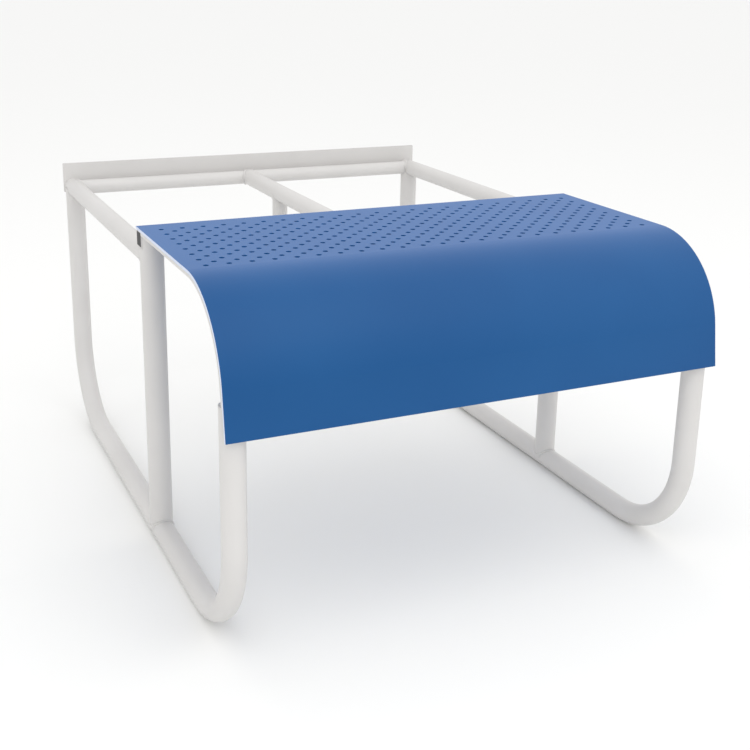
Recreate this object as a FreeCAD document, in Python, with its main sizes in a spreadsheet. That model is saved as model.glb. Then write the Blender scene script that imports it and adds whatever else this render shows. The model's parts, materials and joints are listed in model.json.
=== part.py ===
import FreeCAD, Part
import Sketcher
import os
from FreeCAD import Vector, Rotation, Placement

# Free-standing pool entry platform: a perforated, bent deck on two bent side loops, with
# rails back to a flat wall plate. Millimetres, +Z up, -Y is the water side.
# The origin is on the floor, midway between the plate's back and the apron's lower edge.

doc = FreeCAD.newDocument("diving_platform")

# ---------------------------------------------------------------- driving sizes
SIZES = [
    ("frame_width", 908),           # side loop to side loop, centre to centre
    ("leg_spacing", 1209),          # rear leg to front leg, centre to centre
    ("loop_tube", 43),              # outside diameter of the bent side loops
    ("tube_wall", 2),               # wall of every round tube
    ("bend_radius", 180),           # centreline radius of both loop bends
    ("rail_height", 578.5),         # floor to the rails' centreline
    ("rail_tube", 39),
    ("cross_tube", 34),
    ("post_tube", 45),
    ("post_offset", 739),           # rear leg to side post
    ("middle_post_tube", 36),
    ("middle_post_offset", 231),    # rear leg line to middle post
    ("middle_rail_shift", -10),     # middle rail from the centre plane, along X
    ("front_cross_drop", 31),       # front leg's top down to the front cross tube's centreline
    ("plate_rise", 56),             # wall plate's top edge above the rails' centreline
    ("plate_height", 70),
    ("plate_thickness", 6),
    ("plate_corner", 1.5),
    ("bar_depth", 35),              # box bar that carries the deck's rear edge
    ("bar_height", 32),
    ("bar_wall", 2.5),
    ("bar_inset", 1),               # bar end inside the deck's edge
    ("deck_skin", 5),
    ("deck_overhang", 1),           # deck edge beyond the loops' outer sides
    ("deck_rear_overhang", 2),      # deck edge behind the side posts
    ("deck_radius", 178),           # outside radius of the bend into the apron
    ("apron_lean", 8.5),            # degrees from upright, lower edge forward
    ("apron_lap", 50),              # front leg's top above the apron's lower edge
    ("fit_gap", 0.2),               # front leg to the inside of the apron
    ("batten_depth", 6),
    ("batten_width", 20),
    ("batten_tail", 26.9),          # batten's straight run below the bend
    ("batten_gap", 1),              # batten end above the front leg's cap
    ("hole_size", 10),
    ("hole_pitch", 40),
    ("hole_side", 30),              # least distance from a hole's centre to the deck's side
    ("hole_end", 12),               # least distance from a hole's centre to the bend
    ("hole_margin", 45.5),          # deck's rear edge to the first row
    ("cap_head", 3),
    ("cap_plug", 14),
    ("plug_gap", 0.1),
    ("foot_rim", 3),
    ("foot_height", 22),
    ("foot_floor", 6),
    ("weld_size", 2.5),
    ("weld_trim", 2),               # bead ends this far short of a face that only grazes the tube
    ("stud_size", 8),
    ("stud_pitch", 200),
    ("stud_inner", 150),            # centre plane to the first stud
    ("stud_embed", 2.5),            # stud end inside the skin
    ("stud_clearance", 0.5),
    ("stud_tail", 3),               # stud beyond its nut
    ("nut_size", 13),               # across flats
    ("nut_height", 6.5),
    ("washer_size", 18),
    ("washer_height", 1.6),
    ("spacer_size", 20),
]

sheet = doc.addObject("Spreadsheet::Sheet", "Sizes")
for row, (alias, size) in enumerate(SIZES, start=1):
    sheet.set(f"A{row}", alias)
    sheet.set(f"B{row}", str(size))
    sheet.setAlias(f"B{row}", alias)
doc.recompute()

# ---------------------------------------------------------------- places worked out from the sizes
LEAN = "Sizes.apron_lean * 1deg"
PLACES = [
    ("half_frame", "Sizes.frame_width / 2"),
    ("runner_z", "Sizes.loop_tube / 2"),
    ("rail_top", "Sizes.rail_height + Sizes.rail_tube / 2"),
    ("bar_top", "rail_top + Sizes.bar_height"),
    ("deck_top", "bar_top + Sizes.deck_skin"),
    ("post_top", "bar_top - Sizes.batten_depth"),
    ("deck_width", "Sizes.frame_width + Sizes.loop_tube + 2 * Sizes.deck_overhang"),
    ("apron_reach", "Sizes.loop_tube / 2 + Sizes.fit_gap"
                    f" + Sizes.deck_skin / cos({LEAN}) + Sizes.apron_lap * tan({LEAN})"),
    ("plate_reach", "Sizes.loop_tube / 2 + Sizes.plate_thickness"),
    ("rear_leg_y", "(apron_reach + Sizes.leg_spacing - plate_reach) / 2"),
    ("front_leg_y", "rear_leg_y - Sizes.leg_spacing"),
    ("plate_y", "rear_leg_y + Sizes.loop_tube / 2"),
    ("post_y", "rear_leg_y - Sizes.post_offset"),
    ("middle_post_y", "rear_leg_y - Sizes.middle_post_offset"),
    ("deck_rear_y", "post_y + Sizes.post_tube / 2 + Sizes.deck_rear_overhang"),
    ("bar_front_y", "deck_rear_y - Sizes.bar_depth"),
    ("bar_mid_y", "deck_rear_y - Sizes.bar_depth / 2"),
    ("bend_z", "deck_top - Sizes.deck_radius"),
    ("front_leg_top", f"bend_z + (Sizes.deck_radius - Sizes.deck_skin) * sin({LEAN})"
                      f" - Sizes.batten_tail * cos({LEAN}) - Sizes.batten_gap"),
    ("front_cross_z", "front_leg_top - Sizes.front_cross_drop"),
    ("apron_z", "front_leg_top - Sizes.apron_lap"),
    ("apron_run", f"(bend_z + Sizes.deck_radius * sin({LEAN}) - apron_z) / cos({LEAN})"),
    ("bend_y", "front_leg_y - apron_reach"
               f" + apron_run * sin({LEAN}) + Sizes.deck_radius * cos({LEAN})"),
    ("skin_inside_y", "front_leg_y - Sizes.loop_tube / 2 - Sizes.fit_gap"
                      f" - Sizes.front_cross_drop * tan({LEAN})"),
    ("skin_middle_y", f"skin_inside_y - Sizes.deck_skin / cos({LEAN}) / 2"),
    ("hole_columns", "floor((deck_width - 2 * Sizes.hole_side) / Sizes.hole_pitch) + 1"),
    ("hole_rows", "floor((deck_rear_y - Sizes.hole_margin - bend_y - Sizes.hole_end)"
                  " / (Sizes.hole_pitch / 2)) + 1"),
]

places = doc.addObject("Spreadsheet::Sheet", "Places")
for row, (alias, formula) in enumerate(PLACES, start=1):
    places.set(f"A{row}", alias)
    places.set(f"B{row}", "=" + formula)
    places.setAlias(f"B{row}", alias)
doc.recompute()


def value(formula):
    """The number that a formula on the two sheets gives."""
    return float(sheet.evalExpression(formula))


def bind(item, **formulas):
    for name, formula in formulas.items():
        item.setExpression(name, formula)


def put(item, x="0", y="0", z="0"):
    """Tie an item's position to formulas."""
    item.setExpression("Placement.Base.x", x)
    item.setExpression("Placement.Base.y", y)
    item.setExpression("Placement.Base.z", z)


# ---------------------------------------------------------------- round stock and booleans
TURNS = {
    "x": Rotation(Vector(0, 1, 0), 90),
    "y": Rotation(Vector(1, 0, 0), -90),
    "z": Rotation(),
}


class Round:
    """A round bar or tube's outline: where it starts, the way it runs and its size."""

    def __init__(self, name, size, length, start, axis):
        self.name = name
        self.size = size
        self.length = length
        self.start = start
        self.axis = axis
        self.outer = self.cylinder("outline", size)

    def cylinder(self, suffix, size):
        item = doc.addObject("Part::Cylinder", f"{self.name}_{suffix}")
        item.Placement = Placement(Vector(), TURNS[self.axis])
        bind(item, Radius=f"({size}) / 2", Height=self.length)
        put(item, *self.start)
        return item


def fuse(name, items):
    joined = doc.addObject("Part::MultiFuse", name)
    joined.Shapes = items
    return joined


def cut(name, base, tools):
    """Take the tools away from the base, one after the other."""
    result = base
    for index, tool in enumerate(tools, start=1):
        step = doc.addObject("Part::Cut", f"{name}_{index}")
        step.Base = result
        step.Tool = tool
        result = step
    return result


def group(name, items):
    result = doc.addObject("Part::Compound", name)
    result.Links = items
    return result


PARTS = []


def keep(item, label):
    """List an item as a sub-part of the object."""
    item.Label = label
    PARTS.append(item)
    return item


def tube(stock, mates=()):
    """A hollow tube whose ends are coped round the tubes that it meets."""
    bore = stock.cylinder("bore", f"{stock.size} - 2 * Sizes.tube_wall")
    return keep(cut(f"{stock.name}_cut", stock.outer, [bore] + list(mates)), stock.name)


def weld(coped, through, others=()):
    """The bead where a coped tube meets the tube that runs past it."""
    name = f"weld_{coped.name}_{through.name}"
    grown = [item.cylinder(f"{through.name}_bead" if item is coped else f"{coped.name}_bead",
                           f"{item.size} + 2 * Sizes.weld_size") for item in (coped, through)]
    ring = doc.addObject("Part::MultiCommon", f"{name}_ring")
    ring.Shapes = grown
    return cut(name, ring, [coped.outer, through.outer] + list(others))


def trimmer(name, x, y, z):
    """A box, three tubes a side, that takes away all that lies beyond one of its faces."""
    item = doc.addObject("Part::Box", name)
    bind(item, Length="3 * Sizes.loop_tube", Width="3 * Sizes.loop_tube",
         Height="3 * Sizes.loop_tube")
    put(item, x, y, z)
    return item


# ---------------------------------------------------------------- sketches
ROLES = {"XY": "XY_Plane", "XZ": "XZ_Plane", "YZ": "YZ_Plane"}


def new_body(name):
    return doc.addObject("PartDesign::Body", name)


def new_sketch(body, name, plane):
    sketch = body.newObject("Sketcher::SketchObject", name)
    origin = [item for item in body.Origin.OriginFeatures if item.Role == ROLES[plane]]
    sketch.AttachmentSupport = (origin[0], "")
    sketch.MapMode = "FlatFace"
    return sketch


def dimension(sketch, name, formula, kind, *where):
    """A named dimension that follows a formula."""
    index = sketch.addConstraint(Sketcher.Constraint(kind, *where, value(formula)))
    sketch.renameConstraint(index, name)
    sketch.setExpression(f"Constraints.{name}", formula)


def rectangle(sketch, tag, width, height, left="0", low="0"):
    """A rectangle with its lower left corner at (left, low)."""
    x0 = value(left)
    y0 = value(low)
    x1 = x0 + value(width)
    y1 = y0 + value(height)
    corners = [Vector(x0, y0), Vector(x1, y0), Vector(x1, y1), Vector(x0, y1)]
    first = sketch.GeometryCount
    for start, end in zip(corners, corners[1:] + corners[:1]):
        sketch.addGeometry(Part.LineSegment(start, end), False)
    for side in range(4):
        sketch.addConstraint(Sketcher.Constraint("Coincident", first + side, 2,
                                                 first + (side + 1) % 4, 1))
    for side in (0, 2):
        sketch.addConstraint(Sketcher.Constraint("Horizontal", first + side))
        sketch.addConstraint(Sketcher.Constraint("Vertical", first + side + 1))
    dimension(sketch, f"{tag}_width", width, "DistanceX", first, 1, first, 2)
    dimension(sketch, f"{tag}_height", height, "DistanceY", first + 1, 1, first + 1, 2)
    dimension(sketch, f"{tag}_left", left, "DistanceX", -1, 1, first, 1)
    dimension(sketch, f"{tag}_low", low, "DistanceY", -1, 1, first, 1)


def pad(body, sketch, length, name="Pad"):
    feature = body.newObject("PartDesign::Pad", name)
    feature.Profile = sketch
    feature.setExpression("Length", length)
    return feature


def block(name, plane, width, height, length, left="0", low="0"):
    """A body made by one pad of a rectangle."""
    body = new_body(name)
    sketch = new_sketch(body, f"{name}_outline", plane)
    rectangle(sketch, "side", width, height, left, low)
    pad(body, sketch, length)
    return body


# ---------------------------------------------------------------- side loops
def loop_path(body, side):
    """Rear leg, runner and front leg as one line with two bends."""
    sketch = new_sketch(body, f"loop_path_{side}", "YZ")
    rear = value("Places.rear_leg_y")
    front = value("Places.front_leg_y")
    low = value("Places.runner_z")
    bend = value("Sizes.bend_radius")
    top_rear = value("Sizes.rail_height")
    top_front = value("Places.front_leg_top - Sizes.cap_head")
    quarter = FreeCAD.Units.Quantity("90 deg").getValueAs("rad").Value
    rear_circle = Part.Circle(Vector(rear - bend, low + bend), Vector(0, 0, 1), bend)
    front_circle = Part.Circle(Vector(front + bend, low + bend), Vector(0, 0, 1), bend)
    sketch.addGeometry([
        Part.LineSegment(Vector(rear, top_rear), Vector(rear, low + bend)),
        Part.ArcOfCircle(rear_circle, 3 * quarter, 4 * quarter),
        Part.LineSegment(Vector(rear - bend, low), Vector(front + bend, low)),
        Part.ArcOfCircle(front_circle, 2 * quarter, 3 * quarter),
        Part.LineSegment(Vector(front, low + bend), Vector(front, top_front)),
    ], False)
    for first, first_end, second, second_end in ((0, 2, 1, 2), (2, 1, 1, 1), (2, 2, 3, 2), (4, 1, 3, 1)):
        sketch.addConstraint(Sketcher.Constraint("Tangent", first, first_end, second, second_end))
    sketch.addConstraint(Sketcher.Constraint("Vertical", 0))
    sketch.addConstraint(Sketcher.Constraint("Horizontal", 2))
    sketch.addConstraint(Sketcher.Constraint("Vertical", 4))
    dimension(sketch, "rear_radius", "Sizes.bend_radius", "Radius", 1)
    dimension(sketch, "front_radius", "Sizes.bend_radius", "Radius", 3)
    dimension(sketch, "rear_place", "Places.rear_leg_y", "DistanceX", -1, 1, 0, 1)
    dimension(sketch, "rear_top", "Sizes.rail_height", "DistanceY", -1, 1, 0, 1)
    dimension(sketch, "runner_height", "Places.runner_z", "DistanceY", -1, 1, 2, 1)
    dimension(sketch, "spacing", "Sizes.leg_spacing", "DistanceX", 4, 2, 0, 1)
    dimension(sketch, "front_top", "Places.front_leg_top - Sizes.cap_head",
              "DistanceY", -1, 1, 4, 2)
    return sketch


def loop_section(body, side):
    """The tube's ring, on the rear leg's top."""
    sketch = new_sketch(body, f"loop_section_{side}", "XY")
    sketch.setExpression("AttachmentOffset.Base.z", "Sizes.rail_height")
    centre = Vector(0, value("Places.rear_leg_y"))
    bore = "Sizes.loop_tube - 2 * Sizes.tube_wall"
    for index, (tag, size) in enumerate((("outside", "Sizes.loop_tube"), ("inside", bore))):
        circle = Part.Circle(centre, Vector(0, 0, 1), value(size) / 2)
        sketch.addGeometry(circle, False)
        dimension(sketch, f"{tag}_size", size, "Diameter", index)
    sketch.addConstraint(Sketcher.Constraint("Coincident", 0, 3, 1, 3))
    sketch.addConstraint(Sketcher.Constraint("PointOnObject", 0, 3, -2))
    dimension(sketch, "place", "Places.rear_leg_y", "DistanceY", -1, 1, 0, 3)
    return sketch


def loop_body(side, x):
    body = new_body(f"loop_pipe_{side}")
    pipe = body.newObject("PartDesign::AdditivePipe", f"loop_sweep_{side}")
    pipe.Profile = loop_section(body, side)
    pipe.Spine = loop_path(body, side)
    put(body, x)
    return body


# ---------------------------------------------------------------- bent deck pieces
def bent_strip(name, offset, depth, rear, run):
    """Sketch of a strip that follows the deck: flat, bend, leaning apron.

    offset is from the deck's outer face to the strip's, run is its length below the bend.
    """
    body = new_body(name)
    sketch = new_sketch(body, f"{name}_outline", "YZ")
    outer_radius = f"Sizes.deck_radius - ({offset})"
    inner_radius = f"Sizes.deck_radius - ({offset}) - ({depth})"
    lean = FreeCAD.Units.Quantity("1 deg").getValueAs("rad").Value * value("Sizes.apron_lean")
    upright = FreeCAD.Units.Quantity("90 deg").getValueAs("rad").Value
    centre = Vector(value("Places.bend_y"), value("Places.bend_z"))
    out = Vector(-value(f"cos({LEAN})"), value(f"sin({LEAN})"))
    down = Vector(-value(f"sin({LEAN})"), -value(f"cos({LEAN})"))
    outer = value(outer_radius)
    inner = value(inner_radius)
    rear_y = value(rear)
    outer_start = centre + Vector(0, outer)
    inner_start = centre + Vector(0, inner)
    outer_end = centre + out * outer
    inner_end = centre + out * inner
    outer_tip = outer_end + down * value(run)
    inner_tip = inner_end + down * value(run)
    outer_rear = Vector(rear_y, outer_start.y)
    inner_rear = Vector(rear_y, inner_start.y)
    up = Vector(0, 0, 1)
    sketch.addGeometry([
        Part.LineSegment(outer_rear, outer_start),
        Part.ArcOfCircle(Part.Circle(centre, up, outer), upright, 2 * upright - lean),
        Part.LineSegment(outer_end, outer_tip),
        Part.LineSegment(outer_tip, inner_tip),
        Part.LineSegment(inner_tip, inner_end),
        Part.ArcOfCircle(Part.Circle(centre, up, inner), upright, 2 * upright - lean),
        Part.LineSegment(inner_start, inner_rear),
        Part.LineSegment(inner_rear, outer_rear),
    ], False)
    for first, first_end, second, second_end in ((0, 2, 1, 1), (1, 2, 2, 1), (4, 2, 5, 2), (5, 1, 6, 1)):
        sketch.addConstraint(Sketcher.Constraint("Tangent", first, first_end, second, second_end))
    for first, second in ((2, 3), (3, 4), (6, 7), (7, 0)):
        sketch.addConstraint(Sketcher.Constraint("Coincident", first, 2, second, 1))
    sketch.addConstraint(Sketcher.Constraint("Coincident", 1, 3, 5, 3))
    sketch.addConstraint(Sketcher.Constraint("Horizontal", 0))
    sketch.addConstraint(Sketcher.Constraint("Horizontal", 6))
    sketch.addConstraint(Sketcher.Constraint("Vertical", 7))
    sketch.addConstraint(Sketcher.Constraint("Perpendicular", 2, 3))
    sketch.addConstraint(Sketcher.Constraint("Perpendicular", 3, 4))
    dimension(sketch, "outer_radius", outer_radius, "Radius", 1)
    dimension(sketch, "inner_radius", inner_radius, "Radius", 5)
    dimension(sketch, "bend_place", "Places.bend_y", "DistanceX", -1, 1, 1, 3)
    dimension(sketch, "bend_height", "Places.bend_z", "DistanceY", -1, 1, 1, 3)
    dimension(sketch, "bend_depth", f"({outer_radius}) * cos({LEAN})", "DistanceX", 1, 2, 1, 3)
    dimension(sketch, "tip_length", run, "Distance", 2)
    dimension(sketch, "rear_place", rear, "DistanceX", -1, 1, 0, 1)
    return body, sketch


def stud_places():
    """Stud positions along X, as formulas, from the left."""
    near = "Sizes.stud_inner"
    far = "(Sizes.stud_inner + Sizes.stud_pitch)"
    return [f"-{far}", f"-{near}", near, far]


def perforation():
    """One straight cutter for each hole of the staggered grid."""
    pitch = value("Sizes.hole_pitch")
    radius = value("Sizes.hole_size / 2")
    columns = round(value("Places.hole_columns"))
    first_y = value("Places.deck_rear_y - Sizes.hole_margin")
    skin = value("Sizes.deck_skin")
    low = value("Places.bar_top") - skin
    cutters = []
    for row in range(round(value("Places.hole_rows"))):
        count = columns - row % 2
        y = first_y - row * pitch / 2
        for column in range(count):
            x = (column - (count - 1) / 2) * pitch
            cutters.append(Part.makeCylinder(radius, 3 * skin, Vector(x, y, low)))
    item = doc.addObject("Part::Feature", "perforation")
    item.Shape = Part.makeCompound(cutters)
    return item


# ---------------------------------------------------------------- stock: every straight tube's outline
LEFT = "-Places.half_frame"
RIGHT = "Places.half_frame"
SIDES = {"left": LEFT, "right": RIGHT}
RAIL_RUN = "Places.plate_y - Places.post_y"
MIDDLE = "Sizes.middle_rail_shift"

rails = {}
posts = {}
rear_legs = {}
front_legs = {}
runners = {}
for side, x in SIDES.items():
    rails[side] = Round(f"rail_{side}", "Sizes.rail_tube", RAIL_RUN,
                        (x, "Places.post_y", "Sizes.rail_height"), "y")
    posts[side] = Round(f"post_{side}", "Sizes.post_tube", "Places.post_top - Places.runner_z",
                        (x, "Places.post_y", "Places.runner_z"), "z")
    rear_legs[side] = Round(f"rear_leg_{side}", "Sizes.loop_tube",
                            "Sizes.rail_height - Places.runner_z - Sizes.bend_radius",
                            (x, "Places.rear_leg_y", "Places.runner_z + Sizes.bend_radius"), "z")
    front_legs[side] = Round(f"front_leg_{side}", "Sizes.loop_tube",
                             "Places.front_leg_top - Sizes.cap_head"
                             " - Places.runner_z - Sizes.bend_radius",
                             (x, "Places.front_leg_y", "Places.runner_z + Sizes.bend_radius"), "z")
    runners[side] = Round(f"runner_{side}", "Sizes.loop_tube",
                          "Sizes.leg_spacing - 2 * Sizes.bend_radius",
                          (x, "Places.front_leg_y + Sizes.bend_radius", "Places.runner_z"), "y")

cross_rear = Round("cross_tube_rear", "Sizes.cross_tube", "Sizes.frame_width",
                   (LEFT, "Places.rear_leg_y", "Sizes.rail_height"), "x")
cross_front = Round("cross_tube_front", "Sizes.cross_tube", "Sizes.frame_width",
                    (LEFT, "Places.front_leg_y", "Places.front_cross_z"), "x")
rail_middle = Round("rail_middle", "Sizes.rail_tube",
                    "Places.rear_leg_y - Places.bar_front_y - Sizes.cap_head",
                    (MIDDLE, "Places.bar_front_y + Sizes.cap_head", "Sizes.rail_height"), "y")
post_middle = Round("post_middle", "Sizes.middle_post_tube",
                    "Sizes.rail_height - Sizes.foot_floor",
                    (MIDDLE, "Places.middle_post_y", "Sizes.foot_floor"), "z")

# ---------------------------------------------------------------- frame
for side, x in SIDES.items():
    # The cope runs on past the rear leg, because the rail's end is level with the leg's back.
    cope = Round(f"rail_cope_{side}", "Sizes.rail_tube", f"{RAIL_RUN} + Sizes.rail_tube",
                 (x, "Places.post_y", "Sizes.rail_height"), "y")
    keep(cut(f"loop_{side}_cut", loop_body(side, x), [cope.outer, cross_rear.outer]),
         f"loop_{side}")
    # The post's front runs on up to the batten, and the deck bar sits in the notch behind it.
    bar_notch = trimmer(f"bar_notch_{side}", f"{x} - 1.5 * Sizes.loop_tube",
                        "Places.bar_front_y", "Places.rail_top")
    tube(posts[side], [runners[side].outer, bar_notch])
    tube(rails[side], [posts[side].outer])
tube(rail_middle, [cross_rear.outer])
tube(post_middle, [rail_middle.outer])
tube(cross_rear, [rails["left"].outer, rails["right"].outer])

plate = block("plate_pad", "XZ", "Places.deck_width - 2 * Sizes.deck_overhang",
              "Sizes.plate_height", "Sizes.plate_thickness")
put(plate, "-Places.half_frame - Sizes.loop_tube / 2", "Places.plate_y + Sizes.plate_thickness",
    "Sizes.rail_height + Sizes.plate_rise - Sizes.plate_height")
doc.recompute()
flat = plate.Tip
corners = [f"Edge{index}" for index, edge in enumerate(flat.Shape.Edges, start=1)
           if abs(edge.Length - value("Sizes.plate_thickness")) < 0.01]
rounding = plate.newObject("PartDesign::Fillet", "plate_corners")
rounding.Base = (flat, corners)
bind(rounding, Radius="Sizes.plate_corner")
keep(plate, "wall_plate")

# ---------------------------------------------------------------- rear deck bar with its end caps
bar = new_body("bar_pad")
bar_sketch = new_sketch(bar, "bar_outline", "YZ")
rectangle(bar_sketch, "outside", "Sizes.bar_depth", "Sizes.bar_height")
rectangle(bar_sketch, "inside", "Sizes.bar_depth - 2 * Sizes.bar_wall",
          "Sizes.bar_height - 2 * Sizes.bar_wall", "Sizes.bar_wall", "Sizes.bar_wall")
pad(bar, bar_sketch, "Places.deck_width - 2 * Sizes.bar_inset")
put(bar, "-Places.deck_width / 2 + Sizes.bar_inset", "Places.bar_front_y", "Places.rail_top")

HOLE = "Sizes.stud_size + 2 * Sizes.stud_clearance"
bar_holes = [Round(f"bar_hole_{index}", HOLE, "Sizes.bar_height",
                   (x, "Places.bar_mid_y", "Places.rail_top"), "z")
             for index, x in enumerate(stud_places(), start=1)]
keep(cut("bar_cut", bar, [item.outer for item in bar_holes]), "deck_bar")

PLUG_EDGE = "(Sizes.bar_wall + Sizes.plug_gap)"
for side, place in (("left", "-Places.deck_width / 2 + Sizes.bar_inset"),
                    ("right", "Places.deck_width / 2 - Sizes.bar_inset - Sizes.cap_plug")):
    plug = block(f"bar_cap_plug_{side}", "YZ", f"Sizes.bar_depth - 2 * {PLUG_EDGE}",
                 f"Sizes.bar_height - 2 * {PLUG_EDGE}", "Sizes.cap_plug", PLUG_EDGE, PLUG_EDGE)
    put(plug, place, "Places.bar_front_y", "Places.rail_top")
    keep(plug, f"bar_cap_{side}")

# ---------------------------------------------------------------- deck
deck, deck_sketch = bent_strip("deck_pad", "0", "Sizes.deck_skin", "Places.deck_rear_y",
                               "Places.apron_run")
pad(deck, deck_sketch, "Places.deck_width")
put(deck, "-Places.deck_width / 2")

bar_studs = []
apron_studs = []
STUD_TOP = "Places.bar_top + Sizes.stud_embed"
STUD_TAIL = "Sizes.washer_height + Sizes.nut_height + Sizes.stud_tail"
STUD_REACH = f"Sizes.cross_tube / 2 + {STUD_TAIL}"
for index, x in enumerate(stud_places(), start=1):
    bar_studs.append(Round(f"bar_stud_{index}", "Sizes.stud_size",
                           f"Sizes.stud_embed + Sizes.bar_height + {STUD_TAIL}",
                           (x, "Places.bar_mid_y", f"Places.rail_top - ({STUD_TAIL})"), "z"))
    apron_studs.append(Round(f"apron_stud_{index}", "Sizes.stud_size",
                             f"Places.front_leg_y + {STUD_REACH} - Places.skin_middle_y",
                             (x, "Places.skin_middle_y", "Places.front_cross_z"), "y"))
studs = bar_studs + apron_studs
keep(cut("deck_cut", deck, [perforation()] + [item.outer for item in studs]), "deck_skin")
keep(group("stud_group", [item.outer for item in studs]), "deck_studs")

for side, edge in (("left", "-Places.deck_width / 2"),
                   ("right", "Places.deck_width / 2 - Sizes.batten_width")):
    batten, batten_sketch = bent_strip(f"batten_pad_{side}", "Sizes.deck_skin",
                                       "Sizes.batten_depth", "Places.bar_front_y",
                                       "Sizes.batten_tail")
    pad(batten, batten_sketch, "Sizes.batten_width")
    put(batten, edge)
    keep(batten, f"edge_batten_{side}")

# ---------------------------------------------------------------- front cross tube and its fixings
cross_holes = [Round(f"cross_hole_{index}", HOLE, "Sizes.cross_tube",
                     (x, "Places.front_leg_y - Sizes.cross_tube / 2", "Places.front_cross_z"), "y")
               for index, x in enumerate(stud_places(), start=1)]
tube(cross_front, [front_legs["left"].outer, front_legs["right"].outer]
     + [item.outer for item in cross_holes])

spacers = []
for index, x in enumerate(stud_places(), start=1):
    stock = Round(f"spacer_{index}", "Sizes.spacer_size",
                  "Places.front_leg_y - Places.skin_middle_y",
                  (x, "Places.skin_middle_y", "Places.front_cross_z"), "y")
    hole = stock.cylinder("hole", HOLE)
    spacers.append(cut(f"spacer_{index}_cut", stock.outer, [hole, deck, cross_front.outer]))
keep(group("spacer_group", spacers), "apron_spacers")


def hexagon(name, x, y, z, axis):
    """A plain hexagon nut with its bore."""
    body = doc.addObject("Part::Prism", f"{name}_prism")
    body.Polygon = 6
    body.Placement = Placement(Vector(), TURNS[axis])
    bind(body, Circumradius="Sizes.nut_size / 2 / cos(30deg)", Height="Sizes.nut_height")
    put(body, x, y, z)
    bore = Round(f"{name}_bore", "Sizes.stud_size", "Sizes.nut_height", (x, y, z), axis)
    return cut(name, body, [bore.outer])


def washer(name, x, y, z, axis):
    ring = Round(name, "Sizes.washer_size", "Sizes.washer_height", (x, y, z), axis)
    return cut(f"{name}_cut", ring.outer, [ring.cylinder("hole", HOLE)])


nuts = []
washers = []
for index, x in enumerate(stud_places(), start=1):
    z = "Places.rail_top - Sizes.washer_height"
    washers.append(washer(f"bar_washer_{index}", x, "Places.bar_mid_y", z, "z"))
    nuts.append(hexagon(f"bar_nut_{index}", x, "Places.bar_mid_y", f"{z} - Sizes.nut_height", "z"))
    y = "Places.front_leg_y + Sizes.cross_tube / 2"
    washers.append(washer(f"cross_washer_{index}", x, y, "Places.front_cross_z", "y"))
    nuts.append(hexagon(f"cross_nut_{index}", x, f"{y} + Sizes.washer_height",
                        "Places.front_cross_z", "y"))
keep(group("washer_group", washers), "deck_washers")
keep(group("nut_group", nuts), "deck_nuts")

# ---------------------------------------------------------------- plugs and the middle post's foot
PLUG_SIZE = "Sizes.{tube} - 2 * Sizes.tube_wall - 2 * Sizes.plug_gap"
for side, x in SIDES.items():
    top = "Places.front_leg_top - Sizes.cap_head"
    cap = Round(f"leg_cap_{side}_head", "Sizes.loop_tube", "Sizes.cap_head",
                (x, "Places.front_leg_y", top), "z")
    plug = Round(f"leg_cap_{side}_plug", PLUG_SIZE.format(tube="loop_tube"), "Sizes.cap_plug",
                 (x, "Places.front_leg_y", f"{top} - Sizes.cap_plug"), "z")
    keep(fuse(f"leg_cap_{side}_joined", [cap.outer, plug.outer]), f"leg_cap_{side}")

rail_end = Round("rail_cap_head", "Sizes.rail_tube", "Sizes.cap_head",
                 (MIDDLE, "Places.bar_front_y", "Sizes.rail_height"), "y")
rail_plug = Round("rail_cap_plug", PLUG_SIZE.format(tube="rail_tube"), "Sizes.cap_plug",
                  (MIDDLE, "Places.bar_front_y + Sizes.cap_head", "Sizes.rail_height"), "y")
keep(fuse("rail_cap_joined", [rail_end.outer, rail_plug.outer]), "rail_cap_middle")

foot = Round("foot_outside", "Sizes.middle_post_tube + 2 * Sizes.foot_rim", "Sizes.foot_height",
             (MIDDLE, "Places.middle_post_y", "0"), "z")
socket = Round("foot_socket", "Sizes.middle_post_tube", "Sizes.foot_height - Sizes.foot_floor",
               (MIDDLE, "Places.middle_post_y", "Sizes.foot_floor"), "z")
keep(cut("foot_cut", foot.outer, [socket.outer]), "post_foot_middle")

# ---------------------------------------------------------------- weld beads
for side, x in SIDES.items():
    beyond_leg = trimmer(f"beyond_leg_{side}", f"{x} - 1.5 * Sizes.loop_tube",
                         "Places.plate_y - Sizes.weld_trim",
                         "Sizes.rail_height - 1.5 * Sizes.loop_tube")
    above_rail = trimmer(f"above_rail_{side}", f"{x} - 1.5 * Sizes.loop_tube",
                         "Places.post_y - 1.5 * Sizes.loop_tube",
                         "Places.rail_top - Sizes.weld_trim")
    beads = [
        weld(posts[side], runners[side]),
        weld(rear_legs[side], rails[side], [cross_rear.outer, beyond_leg]),
        weld(rails[side], posts[side], [above_rail]),
        weld(cross_rear, rails[side], [rear_legs[side].outer]),
        weld(cross_front, front_legs[side], [deck]),
    ]
    keep(group(f"weld_group_{side}", beads), f"welds_{side}")
keep(group("weld_group_middle", [
    weld(rail_middle, cross_rear),
    weld(post_middle, rail_middle),
]), "welds_middle")

# ---------------------------------------------------------------- check and write
doc.recompute()
faults = [item.Name for item in doc.Objects if {"Invalid", "Error"} & set(item.State)]
if faults:
    raise RuntimeError("failed: " + ", ".join(faults))

os.makedirs("parts", exist_ok=True)
for item in PARTS:
    shape = item.Shape
    if shape.isNull() or not shape.isValid() or not shape.Solids:
        raise RuntimeError("bad shape: " + item.Label)
    shape.exportStep(os.path.join("parts", item.Label + ".step"))
    box = shape.BoundBox
    print(f"{item.Label}: {len(shape.Solids)} solid(s), {shape.Volume / 1000:.1f} cm3, "
          f"z {box.ZMin:.1f} to {box.ZMax:.1f}")
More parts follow.
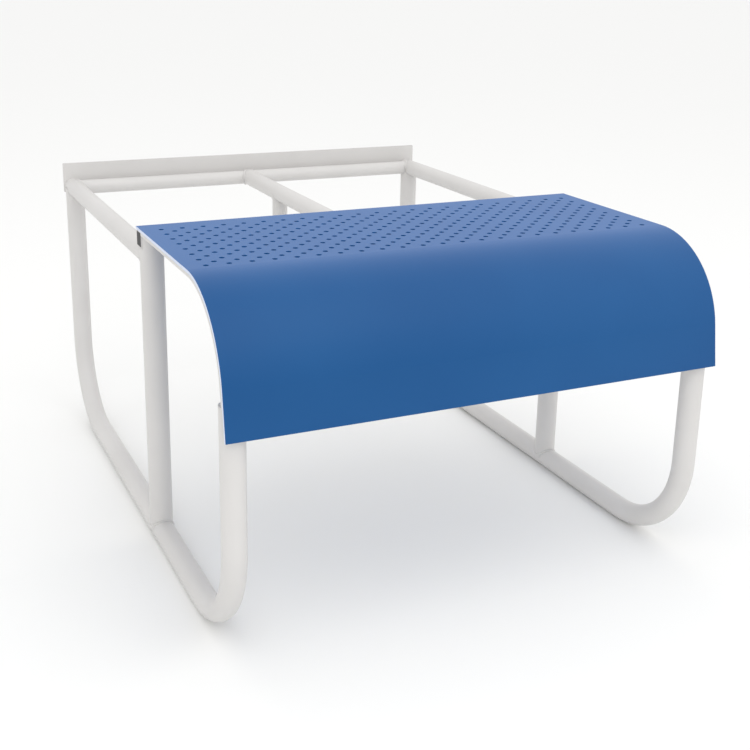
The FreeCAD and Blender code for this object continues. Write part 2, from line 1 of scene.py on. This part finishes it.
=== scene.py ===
# %% [markdown]
# # Pool entry platform
# The object is a free-standing platform for a pool: a blue drilled deck that bends down into an
# apron, a frame of welded white tube and a flat plate at the back. Its shape is finished already
# and comes in as a fixed frame of separate pieces. This lesson gives each piece its real finish,
# then adds a floor, soft light and a camera.

# %% Load the frame
import json
import math
import bpy
from mathutils import Matrix, Vector


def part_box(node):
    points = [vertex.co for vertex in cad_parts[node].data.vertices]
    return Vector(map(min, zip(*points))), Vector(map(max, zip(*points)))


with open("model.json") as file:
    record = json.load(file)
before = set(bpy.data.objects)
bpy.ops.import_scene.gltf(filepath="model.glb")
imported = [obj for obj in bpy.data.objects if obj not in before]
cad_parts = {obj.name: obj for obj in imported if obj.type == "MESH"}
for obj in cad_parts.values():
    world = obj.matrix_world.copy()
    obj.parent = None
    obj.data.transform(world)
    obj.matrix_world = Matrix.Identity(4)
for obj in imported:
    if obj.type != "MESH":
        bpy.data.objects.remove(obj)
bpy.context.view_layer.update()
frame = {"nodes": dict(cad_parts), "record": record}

nodes = frame["nodes"]

# %% [markdown]
# Blender works in linear light, while paint and plastic colours are usually written as sRGB hex.
# One function turns a hex colour into linear values. A second one adds a shader node with its
# settings and its links, so that each material below reads as a short list of nodes. Two more
# start and finish a material, and the last two turn millimetres into metres or texture scales.

# %% Colour and node helpers
def linear(hex_colour):
    """An sRGB hex colour as linear red, green, blue and alpha."""
    channels = [int(hex_colour[i:i + 2], 16) / 255 for i in (1, 3, 5)]
    return [c / 12.92 if c <= 0.04045 else ((c + 0.055) / 1.055) ** 2.4 for c in channels] + [1.0]


def add_node(material, kind, settings=None, **inputs):
    """Add a shader node. An input is a value, or another node's output to link to it."""
    node = material.node_tree.nodes.new(kind)
    for name, setting in (settings or {}).items():
        setattr(node, name, setting)
    for name, given in inputs.items():
        socket = node.inputs[name.replace("_", " ")]
        if isinstance(given, bpy.types.NodeSocket):
            material.node_tree.links.new(given, socket)
        else:
            socket.default_value = given
    return node


def start_material(name):
    """A material with no nodes in it yet."""
    material = bpy.data.materials.new(name)
    material.use_nodes = True
    material.node_tree.nodes.clear()
    return material


def finish_material(material, surface):
    """Link the finished shader to the material's output."""
    add_node(material, "ShaderNodeOutputMaterial", Surface=surface.outputs["BSDF"])
    print("material:", material.name, "nodes:", len(material.node_tree.nodes))
    return material


def mm(size):
    """Millimetres as Blender's metres."""
    return size / 1000


def per_metre(size_mm):
    """The texture scale that makes one pattern cell this many millimetres wide."""
    return 1000 / size_mm


print("off-white #F2F2F0 in linear light:", [round(c, 3) for c in linear("#F2F2F0")])

# %% [markdown]
# The frame is round steel tube, welded, blasted and powder coated in a warm off-white. Powder
# melts into a film with a faint orange peel and softens every sharp edge. The film is satin, so
# highlights are broad. A very low bump gives the peel and a Bevel node rounds the edges' shading.
# Real orange peel is about 2 mm across, too fine to show here, so it is drawn at 5 mm. A weld
# bead keeps its ripple under the film, so the beads get a second version of the same coat. That
# ripple is 1 to 2 mm on a real bead and is drawn at 4 mm for the same reason. A noise texture
# seldom reaches 0 or 1, so the two tones are set in to 0.3 and 0.7 on its ramp.

# %% Powder-coated steel
PEEL_MM = 5
CLOUD_MM = 180
WELD_RIPPLE_MM = 4
NOISE_LOW = 0.3
NOISE_HIGH = 0.7
BEVEL_RAYS = {"samples": 6}


def powder_coat(name, ripple_mm=None):
    """Satin off-white powder coat, with a weld's ripple under it if asked."""
    material = start_material(name)
    place = add_node(material, "ShaderNodeTexCoord").outputs["Object"]
    cloud = add_node(material, "ShaderNodeTexNoise", Vector=place, Scale=per_metre(CLOUD_MM), Detail=3.0)
    tone = add_node(material, "ShaderNodeValToRGB", Fac=cloud.outputs["Fac"])
    tone.color_ramp.elements[0].position = NOISE_LOW
    tone.color_ramp.elements[0].color = linear("#CFCDCB")
    tone.color_ramp.elements[1].position = NOISE_HIGH
    tone.color_ramp.elements[1].color = linear("#D4D2D0")
    edge = add_node(material, "ShaderNodeBevel", BEVEL_RAYS, Radius=mm(1.2))
    peel = add_node(material, "ShaderNodeTexNoise", Vector=place, Scale=per_metre(PEEL_MM), Detail=2.0)
    coat = add_node(material, "ShaderNodeBump", Strength=0.05, Distance=mm(0.6),
                    Height=peel.outputs["Fac"], Normal=edge.outputs["Normal"])
    if ripple_mm:
        ripple = add_node(material, "ShaderNodeTexVoronoi", Vector=place, Scale=per_metre(ripple_mm))
        coat = add_node(material, "ShaderNodeBump", Strength=0.2, Distance=mm(0.5),
                        Height=ripple.outputs["Distance"], Normal=coat.outputs["Normal"])
    paint = add_node(material, "ShaderNodeBsdfPrincipled", Base_Color=tone.outputs["Color"],
                     Roughness=0.42, IOR=1.45, Normal=coat.outputs["Normal"])
    return finish_material(material, paint)


painted_tube = powder_coat("powder_coated_steel")
painted_weld = powder_coat("powder_coated_weld", ripple_mm=WELD_RIPPLE_MM)

# %% [markdown]
# The deck is glass-reinforced plastic with a blue gel coat, sprayed into the mould before the
# glass. This one is satin rather than glossy. Its surface rolls a little where the glass prints
# through, and the colour drifts by a shade over a large area. Polyester has an IOR near 1.55, but
# a strong reflection makes the top too pale when it is seen at a shallow angle. So the IOR is
# lower here, and a blue sheen keeps the colour up. The deck's two sides are sawn after moulding,
# so there the pale laminate shows: a test on the distance from the centre picks those faces.

# %% Blue gel-coated GRP
PRINT_MM = 14
DRIFT_MM = 260
SAWN_BAND_MM = 0.2
DECK_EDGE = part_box("deck_skin")[1].x
MIX_FACTOR, MIX_FIRST, MIX_SECOND, MIX_RESULT = 0, 6, 7, 2    # a Mix node's colour sockets

deck_gel = start_material("gel_coated_grp_blue")
place = add_node(deck_gel, "ShaderNodeTexCoord").outputs["Object"]
drift = add_node(deck_gel, "ShaderNodeTexNoise", Vector=place, Scale=per_metre(DRIFT_MM), Detail=2.0)
hue = add_node(deck_gel, "ShaderNodeValToRGB", Fac=drift.outputs["Fac"])
hue.color_ramp.elements[0].position = NOISE_LOW
hue.color_ramp.elements[0].color = linear("#114D84")
hue.color_ramp.elements[1].position = NOISE_HIGH
hue.color_ramp.elements[1].color = linear("#165289")
spot = add_node(deck_gel, "ShaderNodeSeparateXYZ", Vector=place)
across = add_node(deck_gel, "ShaderNodeMath", {"operation": "ABSOLUTE"}, Value=spot.outputs["X"])
sawn = add_node(deck_gel, "ShaderNodeMath", {"operation": "GREATER_THAN"}, Value=across.outputs["Value"])
sawn.inputs[1].default_value = DECK_EDGE - mm(SAWN_BAND_MM)
coat_or_cut = add_node(deck_gel, "ShaderNodeMix", {"data_type": "RGBA"})
deck_gel.node_tree.links.new(sawn.outputs["Value"], coat_or_cut.inputs[MIX_FACTOR])
deck_gel.node_tree.links.new(hue.outputs["Color"], coat_or_cut.inputs[MIX_FIRST])
coat_or_cut.inputs[MIX_SECOND].default_value = linear("#DFE3EA")
edge = add_node(deck_gel, "ShaderNodeBevel", BEVEL_RAYS, Radius=mm(0.6))
printed = add_node(deck_gel, "ShaderNodeTexNoise", Vector=place, Scale=per_metre(PRINT_MM), Detail=3.0)
rolling = add_node(deck_gel, "ShaderNodeBump", Strength=0.06, Distance=mm(1),
                   Height=printed.outputs["Fac"], Normal=edge.outputs["Normal"])
gel = add_node(deck_gel, "ShaderNodeBsdfPrincipled", Base_Color=coat_or_cut.outputs[MIX_RESULT],
               Roughness=0.4, IOR=1.3, Sheen_Weight=0.42, Sheen_Roughness=0.5,
               Sheen_Tint=(0.25, 0.45, 1.0, 1.0), Normal=rolling.outputs["Normal"])
finish_material(deck_gel, gel)

# %% [markdown]
# The plugs and the middle post's foot are moulded polyethylene: matte, with the fine sparked
# texture of the mould. Its grain is about 0.5 mm, too fine to show here, so it is drawn at 2 mm.
# They come in black, and in off-white where a plug closes the top of a front leg.

# %% Moulded polyethylene
SPARK_MM = 2


def moulded_polyethylene(name, dark, light):
    """Matte plastic with a sparked texture, between a dark and a light hex colour."""
    material = start_material(name)
    place = add_node(material, "ShaderNodeTexCoord").outputs["Object"]
    spark = add_node(material, "ShaderNodeTexVoronoi", Vector=place, Scale=per_metre(SPARK_MM))
    tone = add_node(material, "ShaderNodeValToRGB", Fac=spark.outputs["Distance"])
    tone.color_ramp.elements[0].color = linear(dark)
    tone.color_ramp.elements[1].color = linear(light)
    edge = add_node(material, "ShaderNodeBevel", BEVEL_RAYS, Radius=mm(1))
    grain = add_node(material, "ShaderNodeBump", Strength=0.2, Distance=mm(0.3),
                     Height=spark.outputs["Distance"], Normal=edge.outputs["Normal"])
    plastic = add_node(material, "ShaderNodeBsdfPrincipled", Base_Color=tone.outputs["Color"],
                       Roughness=0.55, IOR=1.51, Normal=grain.outputs["Normal"])
    return finish_material(material, plastic)


black_plug = moulded_polyethylene("polyethylene_black", "#141416", "#222225")
white_plug = moulded_polyethylene("polyethylene_white", "#C9C8C6", "#D2D1CF")

# %% [markdown]
# Studs, nuts, washers and spacers are stainless steel, turned or cold formed and left plain. The
# metal shows by its reflection, so it is fully metallic, mid grey and rather rough. A fine noise
# varies the roughness as handling does.

# %% Plain stainless steel
RUB_MM = 6

stainless = start_material("stainless_steel_plain")
place = add_node(stainless, "ShaderNodeTexCoord").outputs["Object"]
rub = add_node(stainless, "ShaderNodeTexNoise", Vector=place, Scale=per_metre(RUB_MM), Detail=4.0)
matt = add_node(stainless, "ShaderNodeMapRange", Value=rub.outputs["Fac"], To_Min=0.25, To_Max=0.45)
edge = add_node(stainless, "ShaderNodeBevel", BEVEL_RAYS, Radius=mm(0.6))
metal = add_node(stainless, "ShaderNodeBsdfPrincipled", Base_Color=linear("#B9B8B5"), Metallic=1.0,
                 Roughness=matt.outputs["Result"], Normal=edge.outputs["Normal"])
finish_material(stainless, metal)

# %% [markdown]
# Each piece of the frame names the finish that it has in the part's record. One table turns that
# name into a material, so no piece is left with a plain colour. The weld beads have the frame's
# paint, and get the version of it that ripples.

# %% Give every piece its finish
FINISHES = {
    "frame_paint": painted_tube,
    "deck_grp": deck_gel,
    "cap_white": white_plug,
    "cap_plastic": black_plug,
    "stainless": stainless,
}

for part in frame["record"]["subparts"]:
    name = part["node"]
    finish = painted_weld if name.startswith("welds") else FINISHES[part["material_slot"]]
    piece = nodes[name]
    piece.data.materials.clear()
    piece.data.materials.append(finish)
    print(name, "->", finish.name)

# %% [markdown]
# The platform stands on a plain pale floor, large enough to fill the view. Nothing is drawn on
# it, so the object keeps all the attention.

# %% Pale floor
FLOOR_HALF = 40

floor_mesh = bpy.data.meshes.new("pale_floor")
floor_mesh.from_pydata([(-FLOOR_HALF, -FLOOR_HALF, 0), (FLOOR_HALF, -FLOOR_HALF, 0),
                        (FLOOR_HALF, FLOOR_HALF, 0), (-FLOOR_HALF, FLOOR_HALF, 0)], [], [(0, 1, 2, 3)])
floor = bpy.data.objects.new("pale_floor", floor_mesh)
bpy.context.scene.collection.objects.link(floor)

floor_paint = start_material("matt_white_floor")
matt_white = add_node(floor_paint, "ShaderNodeBsdfPrincipled", Base_Color=linear("#F6F6F5"),
                      Roughness=0.9, Specular_IOR_Level=0.1)
finish_material(floor_paint, matt_white)
floor_mesh.materials.append(floor_paint)

# %% [markdown]
# The light is that of a white studio: it comes from all round and is a little stronger from
# above, so shadows stay faint and round tube looks almost flat. A world shader does this with no
# lamp at all. Its brightness rises with the direction, from the horizon to straight overhead.

# %% White studio
ABOVE = 1.30
LEVEL = 1.18

room = bpy.data.worlds.new("white_studio")
room.use_nodes = True
room.node_tree.nodes.clear()
towards = add_node(room, "ShaderNodeTexCoord")
axes = add_node(room, "ShaderNodeSeparateXYZ", Vector=towards.outputs["Generated"])
brightness = add_node(room, "ShaderNodeMapRange", Value=axes.outputs["Z"], To_Min=LEVEL, To_Max=ABOVE)
walls = add_node(room, "ShaderNodeBackground", Strength=brightness.outputs["Result"])
add_node(room, "ShaderNodeOutputWorld", Surface=walls.outputs["Background"])
bpy.context.scene.world = room
bpy.context.scene.view_settings.view_transform = "Standard"
bpy.context.scene.view_settings.look = "None"
print("world:", room.name, "from", LEVEL, "at the horizon to", ABOVE, "overhead")

# %% [markdown]
# Two soft boxes of the same power add the last bit of direction. One hangs high up, out in front
# of the deck, aimed just under the wall plate. The other is larger, stands further out and to the
# left, and faces the frame. Both are area lights, whose size in metres makes their shadows soft.

# %% Soft boxes
OVERHEAD_PLACE = (0.0, -2.5, 4.2)
FRONT_PLACE = (-2.0, -7.0, 3.0)
UNDER_PLATE = (0.0, 0.6, 0.5)
FRAME_MIDDLE = (0.0, 0.0, 0.4)


def soft_box(name, place, target, size, power):
    """A square area light at place, turned to face target. Power is in watts."""
    light = bpy.data.lights.new(name, "AREA")
    light.shape = "SQUARE"
    light.size = size
    light.energy = power
    holder = bpy.data.objects.new(name, light)
    holder.location = place
    holder.rotation_euler = (Vector(target) - Vector(place)).to_track_quat("-Z", "Y").to_euler()
    bpy.context.scene.collection.objects.link(holder)
    print(name, "size", size, "m, power", power, "W")


soft_box("soft_box_overhead", OVERHEAD_PLACE, UNDER_PLATE, size=4.0, power=45)
soft_box("soft_box_front", FRONT_PLACE, FRAME_MIDDLE, size=5.0, power=45)

# %% [markdown]
# A low dark card stands far out in front, with a long foot that lies on the floor. The flat part
# of the apron mirrors the foot and the start of the bend mirrors the upright, while the rest of
# the bend mirrors the bright room, which draws a line between the two. The card shows only in
# reflections. A real one would darken the floor and be seen from behind the platform, so the last
# three settings hide it from the camera, from the floor's light and from shadows.

# %% Low dark card
CARD_WIDTH = 12.0
CARD_HEIGHT = 1.2
CARD_DISTANCE = 7.0
CARD_FOOT = 4.0
CARD_LIFT = 0.01

card_line = [(CARD_FOOT - CARD_DISTANCE, CARD_LIFT), (-CARD_DISTANCE, CARD_LIFT),
             (-CARD_DISTANCE, CARD_HEIGHT)]
card_points = [(x, y, z) for y, z in card_line for x in (-CARD_WIDTH / 2, CARD_WIDTH / 2)]
card_mesh = bpy.data.meshes.new("low_dark_card")
card_mesh.from_pydata(card_points, [], [(0, 1, 3, 2), (2, 3, 5, 4)])
dark_card = bpy.data.objects.new("low_dark_card", card_mesh)
dark_card.visible_camera = False
dark_card.visible_diffuse = False
dark_card.visible_shadow = False
bpy.context.scene.collection.objects.link(dark_card)

black_felt = start_material("black_felt_card")
finish_material(black_felt, add_node(black_felt, "ShaderNodeBsdfDiffuse", Color=linear("#141414")))
card_mesh.materials.append(black_felt)

# %% [markdown]
# The camera stands left of the platform, 1.1 m above the floor, and looks down on the deck. Its
# direction is given by three angles, which are turned into the camera's own axes. A small shift
# lowers the view, so the camera is tilted less and the upright lines lean less.

# %% Camera
STANDPOINT = (-0.9642, -2.1899, 1.1123)
HEADING = 25.316
TILT = -16.315
ROLL = 1.126


def aim(heading, tilt, roll):
    """Camera axes for a heading from +Y towards +X, a tilt above level and a roll, in degrees."""
    h, t, r = (math.radians(angle) for angle in (heading, tilt, roll))
    forward = Vector((math.sin(h) * math.cos(t), math.cos(h) * math.cos(t), math.sin(t)))
    side = forward.cross(Vector((0, 0, 1))).normalized()
    top = side.cross(forward)
    right = math.cos(r) * side + math.sin(r) * top
    up = math.cos(r) * top - math.sin(r) * side
    return Matrix((right, up, -forward)).transposed()


lens = bpy.data.cameras.new("studio_camera")
lens.sensor_width = 36
lens.lens = 55.0
lens.shift_y = -0.1
lens.clip_end = 200
camera = bpy.data.objects.new("studio_camera", lens)
camera.matrix_world = Matrix.Translation(STANDPOINT) @ aim(HEADING, TILT, ROLL).to_4x4()
bpy.context.scene.collection.objects.link(camera)
bpy.context.scene.camera = camera
print("camera at", [round(v, 3) for v in camera.matrix_world.translation])
